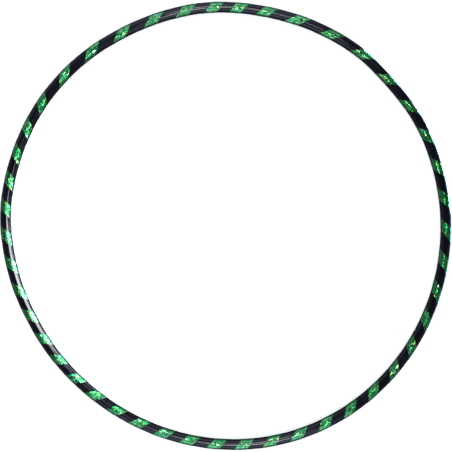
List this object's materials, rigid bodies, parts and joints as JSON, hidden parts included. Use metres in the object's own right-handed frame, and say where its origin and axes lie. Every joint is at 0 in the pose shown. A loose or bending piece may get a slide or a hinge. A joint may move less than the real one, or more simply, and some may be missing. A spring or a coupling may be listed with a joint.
{
  "type": "rhythmic gymnastics hoop",
  "caption": "Round gymnastics hoop of bent black plastic pipe, closed by an inner plug and wrapped in an open spiral of metallic green tape.",
  "frame": {"origin": "on the ring's axis, in the middle plane of the pipe; the out-of-round of the bent ring leaves it within 3 mm of the middle of the bounding box", "axes": "+Z along the ring's axis, out of the side that the hoop shows when it lies on the floor; +X and +Y lie in the plane of the ring, with the butt joint near -X"},
  "size_m": [0.8454, 0.8398, 0.0204],
  "materials": {
    "black_pipe": "glossy black polyethylene pipe, lightly scuffed",
    "plug_plastic": "dull black extruded plastic",
    "rivet_aluminium": "satin aluminium",
    "stem_steel": "zinc-plated steel",
    "green_film": "metallic green embossed holographic film"
  },
  "bodies": {
    "root": {"hoop_tube": "black_pipe", "joint_connector": "plug_plastic", "rivet_bodies": "rivet_aluminium", "rivet_mandrels": "stem_steel", "green_tape": "green_film"}
  },
  "joints": []
}
